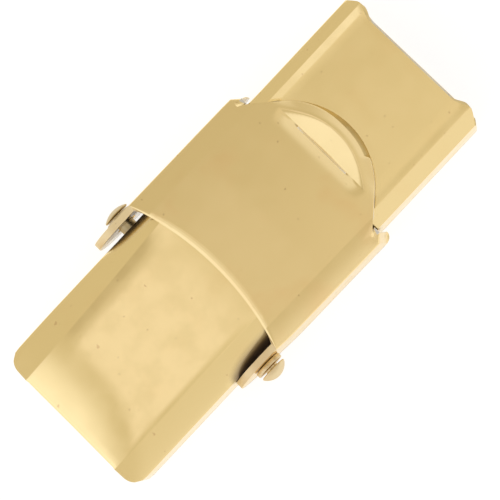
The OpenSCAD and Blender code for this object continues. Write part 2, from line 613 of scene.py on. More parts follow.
@dataclass
class BodyTube:
    """The flat tube: open at its mouth, drawn shut and sloping at its other end.

    The left shoulder narrows from the closed end to the lid, and both are narrow on the mouth half.
    """

    name: str = "body_tube"
    sheet: float = 0.25
    tail_reach: float = 0.05
    low: Vector = field(default_factory=Vector)
    high: Vector = field(default_factory=Vector)
    inner: list[Vector] = field(default_factory=list)
    lining_reach: float = 0.5
    # The section: its corners below, its shoulders above, and the rail and valley beside them.
    foot: float = 0.35
    foot_steps: int = 5
    shoulder: float = 0.8
    shoulder_steps: int = 14
    left_tail: Bend = Bend(0.95, 0.46, 0.9)
    left_lid: Bend = Bend(0.6, 0.38, 0.9)
    right_tail: Bend = Bend(0.93, 0.4, 0.95)
    left_mouth: Bend = Bend(0.53, 0.31, 0.9)
    right_mouth: Bend = Bend(0.52, 0.31, 1.0)
    mouth_blend: Ramp = Ramp(0.4, 2.6)
    narrowing: float = 1.5
    crown: float = 0.07
    crown_blend: Ramp = Ramp(0, 2)
    rail: float = 0.092
    rail_width: float = 0.3
    rail_blend: Ramp = Ramp(3, 1.1)
    rail_growth: float = 0.15
    growth_blend: Ramp = Ramp(5, 1.5)
    valley: float = 0.012
    valley_y: float = 2.25
    # The shoulders pressed down beside the ears.
    pinch_from: Pair = (-3.65, -1.9)
    pinch_fade: Ramp = Ramp(-1.2, 1.4)
    pinch_power: float = 0.33
    pinch_ease: float = 0.2
    left_pinch: Pair = (2.7, 0.6)
    right_pinch: Pair = (2.62, 0.8)
    # The tail: its decline, its soft flanks, its slope and its rounded, slightly askew end.
    decline: float = 0.19
    decline_power: float = 1.75
    left_cushion: Pair = (1.42, 0.045)
    right_cushion: Pair = (1.8, 0.014)
    cushion_blend: Ramp = Ramp(-1.0, -1.5)
    slope_x: float = -6.0
    slope_y: float = 0.6
    slope_skew: float = 0.14
    slope_rate: float = 0.04
    nose: float = 0.15
    nose_fade: float = 0.1
    nose_steps: int = 9
    corner: float = 0.52
    swell: float = 0.02
    swell_blend: Ramp = Ramp(-3, -4)
    end_skew: float = 0.02
    skew_blend: Ramp = Ramp(-4, -3)
    # The mouth: its dip between two points, its corners, its leaning edge and its drawn-in left wall.
    mouth_run: float = 1.2
    mouth_dip: float = 0.16
    mouth_reach: float = 0.06
    mouth_straight: float = 1.95
    mouth_point: float = 2.58
    mouth_undercut: float = 0.3
    mouth_level: float = 1.9
    mouth_corner: float = 0.36
    corner_power: float = 1.2
    squeeze: float = 0.08
    squeeze_blend: Ramp = Ramp(2, 2)
    # The openings and the edges.
    window: Pair = (-1.0, 0.05)
    window_width: float = 3.3
    hole: float = 0.31
    drill_reach: float = 1.0
    edge_round: float = 0.04
    edge_limit_deg: float = 40.0
    # Spacings of the mesh along the body, across its top, on the rail, beside the shoulder and up its walls.
    station: float = 0.22
    grid: float = 0.2
    rail_grid: float = 0.06
    shoulder_lines: Pair = (-0.015, 0.014)
    wall_grid: float = 0.4

    @classmethod
    def from_frame(cls) -> "BodyTube":
        """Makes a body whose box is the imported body's, with its closed end a little further out."""
        low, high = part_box("body")
        return cls(low=Vector(low) / MM - Vector((cls.tail_reach, 0, 0)), high=Vector(high) / MM)

    @property
    def half(self) -> float:
        """Half the outside width."""
        return self.high.y

    @property
    def height(self) -> float:
        """The outside height."""
        return self.high.z

    def stations(self) -> list[float]:
        """Places along X where the section is drawn.

        Returns:
            The places, from the mouth to the closed end, close together on the nose.
        """
        nose_x = self.low.x + self.nose
        run = sorted([*spaced(nose_x, self.high.x, self.station), *self.window], reverse=True)
        turns = [QUARTER * i / self.nose_steps for i in range(self.nose_steps + 1)]
        nose = [nose_x - self.nose * math.sin(turn) for turn in turns]
        return [self.high.x, *run, *nose]

    def shoulder_at(self, x: float, side: Side) -> Bend:
        """The shoulder's curve at a place along X.

        Args:
            x: The place.
            side: The side of the clasp.

        Returns:
            The curve, between those of the closed end, the lid's rear edge and the mouth.
        """
        left = side is Side.LEFT
        tail, lid = (self.left_tail, self.left_lid) if left else (self.right_tail, self.right_tail)
        mouth = self.left_mouth if left else self.right_mouth
        along = min(max((x - self.low.x) / (self.window[0] - self.low.x), 0), 1) ** self.narrowing
        blend = self.mouth_blend.at(x)
        shares = ((tail, (1 - along) * (1 - blend)), (lid, along * (1 - blend)), (mouth, blend))
        sizes = ("width", "depth", "straight")
        return Bend(*(sum(getattr(bend, size) * share for bend, share in shares) for size in sizes))

    def drop_at(self, x: float, y: float) -> float:
        """How far the top has come down at a place, before its nose.

        Args:
            x: Place along X.
            y: Place across.

        Returns:
            The distance below the flat top of the mouth half.
        """
        reach = self.window[0] - self.slope_x
        back = max(self.window[0] - x, 0) / reach
        drop = self.decline * (min(back, 1) ** self.decline_power + self.decline_power * max(back - 1, 0))
        start = self.slope_x - self.slope_skew * max(self.slope_y - y, 0) ** 2
        return drop + self.slope_rate * max(start - x, 0) ** 2

    def top_at(self, x: float, y: float, rounding: float = 1.0) -> float:
        """Height of the top at a place.

        Args:
            x: Place along X.
            y: Place across.
            rounding: How much of the nose this place has, from 0 to 1.

        Returns:
            The height, with the tail's decline, its slope and the nose.
        """
        nose_x = self.low.x + self.nose
        plain = self.height - self.drop_at(x, y)
        if x >= nose_x:
            return plain
        stride = 0.01
        edge = self.height - self.drop_at(nose_x, y)
        ahead = self.height - self.drop_at(nose_x + stride, y)
        lean = math.atan2(ahead - edge, stride)
        scale = self.nose / (1 - math.sin(lean))
        part = min((nose_x - x) / scale + math.sin(lean), 1)
        return plain + (edge - scale * (math.cos(lean) - math.cos(math.asin(part))) - plain) * rounding

    def round_in(self, x: float, radius: float) -> float:
        """How far a side is drawn in by a round corner at the closed end.

        Args:
            x: The place along X.
            radius: The corner's radius.

        Returns:
            The distance, 0 before the corner starts.
        """
        into = self.low.x + radius - x
        return radius - math.sqrt(max(radius**2 - into**2, 0)) if into > 0 else 0.0

    def relief(self, x: float, y: float, flat: float) -> float:
        """Height that pressing adds to the flat of the top.

        Args:
            x: Place along X.
            y: Place across.
            flat: Where this side's shoulder starts.

        Returns:
            The height: a low crown and a rail or a shallow valley on the mouth half, and a soft fall on
            the tail.
        """
        wide = abs(y)
        mouth, tail = self.rail_blend.at(x), self.cushion_blend.at(x)
        rise = -self.crown * (wide / self.half) ** 2 * self.crown_blend.at(x)
        if y > 0:
            height = self.rail * mouth * (1 - self.rail_growth + self.rail_growth * self.growth_blend.at(x))
            rise += height * min(max((wide - flat + self.rail_width) / self.rail_width, 0), 1)
        else:
            reach = flat - self.valley_y
            rise -= self.valley * ease(1 - abs(wide - self.valley_y) / reach) * mouth
        start, depth = self.left_cushion if y > 0 else self.right_cushion
        return rise - depth * min(max((wide - start) / (flat - start), 0), 1) ** 2 * tail

    def pinch(self, x: float, wide: float, side: Side) -> float:
        """How far a shoulder is pressed down beside an ear, to give it room.

        Args:
            x: Place along X.
            wide: Distance from the middle.
            side: The side of the clasp.

        Returns:
            The distance, largest at the wall and beside the lid's rear edge.
        """
        line, slope = self.left_pinch if side is Side.LEFT else self.right_pinch
        back, front = self.pinch_from
        part = min(max((x - back) / (front - back), 0), 1) * (1 - self.pinch_fade.at(x))
        past = wide - self.half + (self.half - line) * part**self.pinch_power
        if past < self.pinch_ease:
            return slope * max(past, 0) ** 2 / (2 * self.pinch_ease)
        return slope * (past - self.pinch_ease / 2)

    def shaped(self, point: Vector) -> Vector:
        """Moves a point of the straight prism to its place on the drawn body.

        Args:
            point: The point on the prism, in millimetres.

        Returns:
            The point on the body.
        """
        x, y, z = point
        side = Side.LEFT if y >= 0 else Side.RIGHT
        wide = abs(y)
        base_y, base_z = self.half - self.shoulder, self.height - self.shoulder
        bend = self.shoulder_at(x, side)
        flat = self.half - bend.width
        kept = 1 - self.round_in(x, self.corner) / bend.width
        rim, rim_fall = bend.at_turn(math.asin(kept))
        fall = 0.0
        if z > base_z:
            turn = QUARTER - math.atan2(z - base_z, max(wide - base_y, 0))
            out, fall = bend.at_turn(math.asin(math.sin(turn) * kept))
            wide = flat + out if wide > base_y else wide * flat / base_y
        else:
            wide *= (flat + rim) / self.half
        y = side.value * wide
        rounding = 1 - ease((wide - flat) / self.nose_fade + 1)
        crest = self.top_at(x, y, rounding) + self.relief(x, side.value * min(wide, flat), flat)
        wall = crest - rim_fall - self.pinch(x, self.half, side)
        if z > base_z:
            z = crest - fall - self.pinch(x, wide, side)
        elif z > self.foot:
            z = self.foot + (z - self.foot) * (wall - self.foot) / (base_z - self.foot)
        z += self.round_in(x, self.foot) * max(1 - z / wall, 0)
        y += self.swell * self.swell_blend.at(x) * max(y / self.half, 0)
        y -= self.squeeze * self.squeeze_blend.at(x) * max((y - flat) / bend.width, 0)
        x -= self.mouth_trim(x, abs(y), z)
        x += self.end_skew * y * self.skew_blend.at(x)
        return Vector((x, y, z))

    def mouth_trim(self, x: float, wide: float, z: float) -> float:
        """How far a point near the mouth is set back.

        Args:
            x: The place along X.
            wide: Distance from the middle.
            z: Height.

        Returns:
            The set-back along X.
        """
        reach = ease((x - self.high.x + self.mouth_run) / self.mouth_run)
        if reach <= 0:
            return 0.0
        out = ease((wide - self.mouth_straight) / (self.mouth_point - self.mouth_straight))
        back = -self.mouth_reach * out
        if z > self.height / 2:
            back += self.mouth_dip * (1 - out)
        if z < self.mouth_level:
            back += self.mouth_undercut * (1 - z / self.mouth_level)
        beyond = max(wide - self.mouth_point, 0) / (self.half - self.mouth_point)
        return (back + self.mouth_corner * beyond**self.corner_power) * reach

    def build(self) -> bpy.types.Object:
        """Draws the section along X and shapes it.

        Returns:
            The body's outer skin, open at its mouth and at the window.
        """
        bm = bmesh.new()
        corners = [(-self.half, 0), (self.half, 0), (self.half, self.height), (-self.half, self.height)]
        ring = [bm.verts.new((self.high.x, y, z)) for y, z in corners]
        bm.faces.new(ring)
        rounds = ((ring[:2], self.foot, self.foot_steps), (ring[2:], self.shoulder, self.shoulder_steps))
        for pair, radius, segments in rounds:
            bmesh.ops.bevel(
                bm, geom=pair, offset=radius, offset_type="OFFSET", segments=segments, profile=0.5,
                affect="VERTICES", material=-1,
            )
        ring = bm.edges[:]
        bmesh.ops.delete(bm, geom=bm.faces[:], context="FACES_ONLY")
        for place, following in pairwise(self.stations()):
            points, ring = drawn_on(bm, ring)
            bmesh.ops.translate(bm, vec=(following - place, 0, 0), verts=points)
        bmesh.ops.contextual_create(bm, geom=ring)
        flat = self.half - self.shoulder
        inner = flat - self.rail_width
        close = [flat + place for place in self.shoulder_lines]
        lines = [*spaced(0, inner, self.grid), inner, *spaced(inner, flat, self.rail_grid), *close]
        lines.append(self.window_width / 2)
        cut_across(bm, 1, [0.0, *lines, *(-line for line in lines)])
        cut_across(bm, 2, spaced(self.foot, self.height - self.shoulder, self.wall_grid))
        opening = [f for f in bm.faces if self.in_window(f.calc_center_median())]
        bmesh.ops.delete(bm, geom=opening, context="FACES")
        for vert in bm.verts:
            vert.co = self.shaped(vert.co)
        self.inner = [self.lined(vert.co) for vert in bm.verts]
        bmesh.ops.recalc_face_normals(bm, faces=bm.faces)
        return Workbench.make(self.name, bm)

    def lined(self, point: Vector) -> Vector:
        """Finds the inner face's partner of a point on the outer face, by shrinking its section.

        Args:
            point: The point on the outer face.

        Returns:
            The point on the inner face.
        """
        x, y, z = point
        near = self.low.x + self.lining_reach
        top = self.top_at(min(max(x, self.low.x), self.high.x), 0)
        middle = (top + self.round_in(x, self.foot)) / 2
        half = self.half - self.round_in(x, self.corner)
        if x < near:
            x = near - (near - x) * (1 - self.sheet / self.lining_reach)
        return Vector((x, y * (1 - self.sheet / half), middle + (z - middle) * (1 - self.sheet / middle)))

    def in_window(self, centre: Vector) -> bool:
        """Whether a face of the top lies in the window under the lid."""
        inside = self.window[0] < centre.x < self.window[1] and abs(centre.y) < self.window_width / 2
        return inside and centre.z > self.height - TINY

    def dress(self, piece: bpy.types.Object, hinge: Hinge, plates: tuple[Plate, Plate, Plate]) -> None:
        """Gives the body its wall, its rivet holes, its rounded edges and its finishes.

        Args:
            piece: The built body.
            hinge: Where the rivets are.
            plates: The finishes outside, inside and on the cut edges, the last darkened with painted shade.
        """
        for plate in plates:
            piece.data.materials.append(plate.material())
        Workbench.thicken(piece, self.inner, self.sheet)
        ends = (self.half - self.drill_reach, self.half + self.drill_reach)
        for side in Side:
            Workbench.combine(piece, hinge.drill(side, self.hole, *ends), "DIFFERENCE")
        Workbench.soften(piece, self.edge_round, self.edge_limit_deg)
        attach(piece, "body")
        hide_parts("body")


@dataclass
class LeverLid:
    """The lid: a flat blank that is punched, pressed and then bent over the body.

    It sits on its rivets with a little play, turned and moved sideways by as much as the loose bores allow.
    """

    name: str = "lever_lid"
    sheet: float = 0.25
    half: float = 3.47
    top: float = 3.23
    inner: list[Vector] = field(default_factory=list)
    # The bend over the body. The blank is measured along a straighter curve than it takes.
    bend: Bend = Bend(0.74, 0.35, 0.95)
    bend_straight: float = 0.75
    crown: float = 0.055
    crown_end: float = 0.8
    spring: float = 0.11
    spring_blend: Ramp = Ramp(1.2, 3.6)
    # The concave rear edge and its lip.
    rear_x: float = -1.19
    rear_radius: float = 10.6
    rear_steps: int = 30
    lip: float = 0.23
    lip_start: float = 1.12
    lip_powers: Pair = (3, 0.7)
    lip_knee: float = 0.65
    lip_slopes: Pair = (0.2, 0.5)
    lip_steps: int = 4
    # The side walls with their ears and their fronts.
    ear: float = 1.21
    ear_steps: int = 28
    bore: float = 0.41
    drill_reach: float = 0.5
    wall_front: float = 3.43
    wall_corner: float = 0.5
    corner_steps: int = 8
    wall_round: float = 0.2
    wall_nib: float = 0.3
    curl_deg: float = 70.0
    curl_steps: int = 4
    front_round: float = 0.38
    front_blend: float = 0.25
    front_turn: Pair = (0.7, 0.3)
    # The tongue between its notches, its falling rim and its slanted worn edge.
    notch: Pair = (3.4, 2.96)
    tip_x: float = 5.31
    tongue_x: float = 3.0
    tongue_radius: float = 2.85
    tip_steps: int = 30
    rim_slope: float = 0.16
    rim_width: float = 0.42
    rim_blend: Ramp = Ramp(4.0, 0.6)
    tip_slant: float = 0.14
    tip_band: float = 0.3
    slant_in: Ramp = Ramp(-27.0, 3.0)
    slant_out: Ramp = Ramp(40.0, -45.0)
    # The thumb recess, the low worn step behind it and the soft band behind that.
    recess: Pair = (4.1, 4.88)
    recess_radius: float = 2.75
    recess_y: float = 0.07
    floor_slope: float = 0.29
    step: float = 0.06
    step_facing: float = 0.74
    halo: float = 0.56
    halo_power: float = 2.1
    halo_depth: float = 0.095
    press_through: float = 0.1
    # The grip bar, the right ear's nip, and the lid's play on its rivets.
    grip: Pair = (-0.55, -0.15)
    grip_width: float = 2.7
    grip_low: float = 2.2
    nip: float = 0.045
    nip_along: Ramp = Ramp(-1.0, -1.2)
    nip_across: Ramp = Ramp(2.6, 0.5)
    play_shift: float = 0.085
    play_turn_deg: float = -0.55
    edge_round: float = 0.045
    edge_limit_deg: float = 38.0
    # Spacings of the mesh: across the top, down the walls, along the rear, the soft band and the tongue.
    grid: float = 0.12
    wall_grid: float = 0.4
    rear_grid: float = 0.35
    halo_grid: float = 0.06
    tip_grid: float = 0.05
    crease_lines: float = 0.015
    shoulder_line: float = 0.02
    bend_stride: int = 5

    @classmethod
    def from_frame(cls) -> "LeverLid":
        """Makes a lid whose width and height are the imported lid's."""
        _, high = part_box("lid")
        return cls(half=high[1] / MM, top=high[2] / MM)

    @property
    def flat(self) -> float:
        """Distance from the middle to where the shoulder's bend starts."""
        return self.half - self.bend.width

    @property
    def wall_top(self) -> float:
        """Place across the blank where the bend ends and the side wall starts."""
        return self.flat + self.bend.length

    def unrolled(self, z: float) -> float:
        """Place across the blank of a height on the side wall."""
        return self.wall_top + (self.top - self.bend.depth - z)

    @property
    def tongue_centre(self) -> float:
        """X of the centre of the tongue's round end."""
        return self.tip_x - self.tongue_radius

    def across(self, place: float) -> float:
        """Finds where a place across the blank lies after bending.

        Args:
            place: The place.

        Returns:
            Its distance from the middle.
        """
        if place <= self.flat:
            return place
        return self.flat + self.bend.at_turn(self.bend.turn_at(place - self.flat))[0]

    def rear_at(self, place: float) -> float:
        """X of the concave rear edge at a place across the blank."""
        y = self.across(abs(place))
        return self.rear_x - (self.rear_radius - math.sqrt(self.rear_radius**2 - y * y))

    def lip_at(self, place: float) -> float:
        """Width of the rear lip, widest in the middle and gone where the shoulder has turned down."""
        taper, ease_out = self.lip_powers
        return self.lip * max(1 - (abs(place) / self.wall_top) ** taper, 0) ** ease_out

    def recess_edge(self, y: float) -> float:
        """X of the recess's curved edge at a distance from the middle."""
        span = max(self.recess_radius**2 - (y - self.recess_y) ** 2, 0)
        return self.recess[1] - self.recess_radius + math.sqrt(span)

    def outline(self, hinge: Hinge) -> list[Pair]:
        """Half the blank's outline, from the middle of the rear round to the tip of the tongue.

        Args:
            hinge: Where the ears' bores are.

        Returns:
            The points, as X and place across the blank.
        """
        pin = self.unrolled(hinge.z)
        places = [self.wall_top * i / self.rear_steps for i in range(self.rear_steps + 1)]
        rear = [(self.rear_at(place) + self.lip_at(place) * self.lip_start, place) for place in places]
        ahead, above = self.rear_at(self.wall_top) - hinge.x, pin - self.wall_top
        start = math.acos(self.ear / math.hypot(ahead, above)) + math.atan2(above, ahead)
        ear = arc(hinge.x, pin, self.ear, 360 - math.degrees(start), 90, self.ear_steps)
        corner_x, corner_y = self.wall_front - self.wall_corner, pin + self.ear - self.wall_corner
        front = arc(corner_x, corner_y, self.wall_corner, 90, 0, self.corner_steps)
        nib = self.flat + self.bend.run_at(self.notch[1] - self.flat)
        curl_x, curl_y = self.wall_front - self.wall_round, nib + self.wall_nib
        curl = arc(curl_x, curl_y, self.wall_round, 0, -self.curl_deg, self.curl_steps)
        aside = self.notch[0] - self.tongue_centre
        far = math.hypot(aside, self.notch[1])
        touch = math.degrees(math.atan2(self.notch[1], aside) - math.acos(self.tongue_radius / far))
        tip = arc(self.tongue_centre, 0, self.tongue_radius, touch, 0, self.tip_steps)
        return rear + ear + front + curl + [(self.notch[0], nib)] + tip

    def sag(self, x: float, place: float) -> float:
        """How far the lid lies below its highest line.

        Args:
            x: Place along X.
            place: Place across the blank.

        Returns:
            The distance, from the cover's crown and the lid's spring towards its tongue.
        """
        beyond = min(max((abs(place) - self.flat - self.bend.length) / self.crown_end, 0), 1)
        crown = self.crown * min(abs(place) / self.flat, 1) ** 2 * (1 - beyond)
        return crown + self.spring * self.spring_blend.at(x)

    def struck(self, x: float, y: float) -> float:
        """Depth of the pressing at a place on the blank: the thumb recess and the tongue's falling rim.

        Args:
            x: Place along X.
            y: Place across.

        Returns:
            The depth. The recess's floor falls from its curved edge to the crease. Behind that is a low
            step, from which the metal rises softly.
        """
        crease, edge = self.recess[0], self.recess_edge(y)
        beyond = math.hypot(x - self.tip_x + self.tongue_radius, y) - self.tongue_radius + self.rim_width
        rim = self.rim_slope * max(beyond, 0) * self.rim_blend.at(x)
        if crease >= edge or x >= edge:
            return rim
        if x >= crease - TINY:
            return rim + self.floor_slope * (edge - x)
        deep = self.floor_slope * (edge - crease)
        soft, behind = min(self.halo_depth, deep), crease - self.step - x
        if behind < 0:
            return soft - (deep - soft) * behind / self.step
        return soft * max(1 - behind / self.halo, 0) ** self.halo_power

    def bent(self, point: Vector, inset: float = 0.0) -> Vector:
        """Bends a point of the blank over the body.

        Args:
            point: X, the place across the blank, and the height above the blank's outer face.
            inset: How far below the outer face the point lies.

        Returns:
            The point in space.
        """
        x, place, rise = point
        side = math.copysign(1.0, place)
        run = abs(place) - self.flat
        if run <= 0:
            return Vector((x, place, self.top + rise - inset))
        turn = self.bend.turn_at(run)
        bend = Bend(self.bend.width - inset, self.bend.depth - inset, self.bend_straight)
        out, down = bend.at_turn(turn)
        lean = bend.lean_at(turn)
        z = self.top - inset - down - max(run - self.bend.length, 0) + rise * math.cos(lean)
        return Vector((x, side * (self.flat + out + rise * math.sin(lean)), z))

    def build(self, hinge: Hinge) -> bpy.types.Object:
        """Punches the blank, presses the recess and the lip, and bends it.

        Args:
            hinge: Where the rivets are.

        Returns:
            The lid's outer skin.
        """
        bm = bmesh.new()
        verts = [bm.verts.new((x, p, 0)) for x, p in self.outline(hinge)]
        bm.faces.new(verts)
        bmesh.ops.mirror(bm, geom=bm.verts[:] + bm.edges[:] + bm.faces[:], axis="Y", merge_dist=TINY)
        bmesh.ops.recalc_face_normals(bm, faces=bm.faces)
        if sum(f.normal.z * f.calc_area() for f in bm.faces) < 0:
            bmesh.ops.reverse_faces(bm, faces=bm.faces)
        self.press_lip(bm)
        self.grid_lines(bm, hinge)
        for edge in bm.edges:
            edge.smooth = any(abs(abs(v.co.y) - self.flat) > TINY for v in edge.verts)
        self.inner.clear()
        for vert in bm.verts:
            lower = Vector((0, 0, self.sag(vert.co.x, vert.co.y)))
            deep = Vector((0, 0, self.struck(vert.co.x, vert.co.y)))
            self.inner.append(self.bent(vert.co - deep * self.press_through, self.sheet) - lower)
            vert.co = self.bent(vert.co - deep) - lower
        return Workbench.make(self.name, bm)

    def grid_lines(self, bm: bmesh.types.BMesh, hinge: Hinge) -> None:
        """Cuts the blank along the lines that its bending and pressing need.

        Args:
            bm: The flat blank.
            hinge: Where the rivets are.
        """
        inside = self.flat - self.shoulder_line
        steps = (0, 1, *range(self.bend_stride, self.bend.steps + 1, self.bend_stride))
        bends = [self.flat + self.bend.lengths[i] for i in steps]
        walls = spaced(self.wall_top, self.unrolled(hinge.z) + self.ear, self.wall_grid)
        lines = [*spaced(0, inside, self.grid), inside, *bends, *walls]
        cut_across(bm, 1, lines + [-line for line in lines])
        crease, hair = self.recess[0], self.crease_lines
        close = [crease + place for place in (-self.step - hair, -self.step, -hair, 0, hair, 2 * hair)]
        soft = crease - self.step - self.halo
        rear = [*spaced(hinge.x - self.ear, soft, self.rear_grid), soft]
        front = spaced(close[-1], self.tip_x, self.tip_grid)
        cut_across(bm, 0, [*rear, *spaced(soft, close[0], self.halo_grid), *close, *front])

    def press_lip(self, bm: bmesh.types.BMesh) -> None:
        """Draws the rear edge on and rolls it down into a lip.

        Args:
            bm: The flat blank.
        """
        def on_rear(vert: bmesh.types.BMVert) -> bool:
            """Whether a point of the blank is on the edge that the lip grows from."""
            width, close = self.lip_at(vert.co.y), 0.001
            return abs(vert.co.x - self.rear_at(vert.co.y) - width * self.lip_start) < close < width

        def on_top(edge: bmesh.types.BMEdge) -> bool:
            """Whether an edge of the blank lies behind its middle and above the side walls."""
            high = all(abs(vert.co.y) <= self.wall_top + TINY for vert in edge.verts)
            return edge.is_boundary and edge.verts[0].co.x < 0 and high

        start = {vert for vert in bm.verts if on_rear(vert)}
        edges = [edge for edge in bm.edges if on_top(edge) and start.intersection(edge.verts)]
        knee, (near, far) = self.lip_knee, self.lip_slopes
        parts = [i / self.lip_steps for i in range(self.lip_steps + 1)]
        for part in [*(knee * part for part in parts), *(knee + (1 - knee) * part for part in parts[1:])]:
            points, edges = drawn_on(bm, edges)
            for vert in points:
                width = self.lip_at(vert.co.y)
                vert.co.x = self.rear_at(vert.co.y) + width * (1 - part)
                vert.co.z = -width * (near * min(part, knee) + far * max(part - knee, 0))
        bmesh.ops.remove_doubles(bm, verts=bm.verts, dist=TINY)

    def slant_tip(self, piece: bpy.types.Object, outer: int) -> None:
        """Draws back the tongue's worn rim. Its worn edge gets the gold darkened with painted shade, and its
        bright edges get the painted highlight.

        Args:
            piece: The lid with its thickness.
            outer: How many of its points belong to the outer face; they come first.
        """
        start = self.tongue_radius - self.tip_band

        def slant_at(place: Vector) -> tuple[Vector, float]:
            """Finds how worn the tongue's rim is at a place.

            Args:
                place: The place, in metres.

            Returns:
                The arm to it from the tongue's centre, in millimetres, and the wear, from 0 to 1.
            """
            arm = Vector((place.x / MM - self.tongue_centre, place.y / MM))
            angle = math.degrees(math.atan2(arm.y, arm.x))
            slant = self.slant_in.at(angle) * self.slant_out.at(angle)
            return arm, slant if arm.length > start else 0.0

        for face in piece.data.polygons:
            behind = self.recess[0] - face.center.x / MM
            on_step = 0 < behind < self.step and face.normal.x > self.step_facing and face.normal.z > 0
            # The slanted rim gets gold darkened with painted shade; the tongue's other edges and the step
            # behind the recess get a painted highlight.
            if face.material_index == Coat.EDGE.value and face.center.x > self.tongue_x * MM:
                slanted = slant_at(face.center)[1] > 0
                face.material_index = Coat.WORN_SHADED.value if slanted else Coat.PAINTED_HIGHLIGHT.value
            elif on_step:
                face.material_index = Coat.PAINTED_HIGHLIGHT.value
        for vert in piece.data.vertices[:outer]:
            arm, slant = slant_at(vert.co)
            if slant > 0:
                arm *= 1 - self.tip_slant * slant * ((arm.length - start) / self.tip_band) / arm.length
                vert.co.x, vert.co.y = (self.tongue_centre + arm.x) * MM, arm.y * MM

    def round_front(self, piece: bpy.types.Object, outer: int) -> None:
        """Rounds the outer face of the side walls inwards at their front ends.

        Args:
            piece: The lid with its thickness.
            outer: How many of its points belong to the outer face; they come first.
        """
        for vert in piece.data.vertices[:outer]:
            into = vert.co.x / MM - self.wall_front + self.front_round
            aside = ease((abs(vert.co.y) / MM - self.notch[1]) / self.front_blend)
            if into > 0 and aside > 0:
                inward = self.front_round - math.sqrt(max(self.front_round**2 - into**2, 0))
                vert.co.y -= math.copysign(self.front_turn[0] * inward * aside, vert.co.y) * MM
                vert.co.z -= self.front_turn[1] * inward * aside * MM

    def dress(self, piece: bpy.types.Object, hinge: Hinge, plates: tuple[Plate, ...]) -> None:
        """Gives the lid its thickness, bores, grip bar, rounded edges and finishes.

        Args:
            piece: The built lid.
            hinge: Where the rivets are.
            plates: Its finishes, in the order of Coat: outside, inside, on the cut edges, on the tongue's
                worn edge, darkened with painted shade, and the painted highlight on its bright edges and the
                step behind the recess.
        """
        for plate in plates:
            piece.data.materials.append(plate.material())
        outer = len(piece.data.vertices)
        Workbench.thicken(piece, self.inner, self.sheet)
        self.slant_tip(piece, outer)
        self.round_front(piece, outer)
        ends = (self.half - self.drill_reach, self.half + self.drill_reach)
        for side in Side:
            Workbench.combine(piece, hinge.drill(side, self.bore, *ends), "DIFFERENCE")
        Workbench.combine(piece, self.grip_bar(), "UNION")
        Workbench.soften(piece, self.edge_round, self.edge_limit_deg, keep_creases=True)
        for vert in piece.data.vertices:
            if vert.co.y < 0:
                nipped = self.nip_along.at(vert.co.x / MM) * self.nip_across.at(-vert.co.y / MM)
                vert.co.y += self.nip * nipped * MM
        turn = Matrix.Rotation(math.radians(self.play_turn_deg), 4, "Z")
        back = Matrix.Translation((hinge.x * MM, self.play_shift * MM, 0))
        piece.data.transform(back @ turn @ Matrix.Translation((-hinge.x * MM, 0, 0)))
        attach(piece, "lid")
        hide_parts("lid")

    def grip_bar(self) -> bpy.types.Object:
        """Makes the plain bar under the lid that presses on the cords.

        Returns:
            The bar, whose top lies inside the lid's sheet.
        """
        bm = bmesh.new()
        high = self.top - self.sheet / 2 - self.crown
        size = (self.grip[1] - self.grip[0], self.grip_width, high - self.grip_low)
        middle = (sum(self.grip) / 2, 0, (high + self.grip_low) / 2)
        bmesh.ops.create_cube(bm, size=1, matrix=Matrix.Translation(middle) @ Matrix.Diagonal((*size, 1)))
        return Workbench.make("grip_bar", bm)


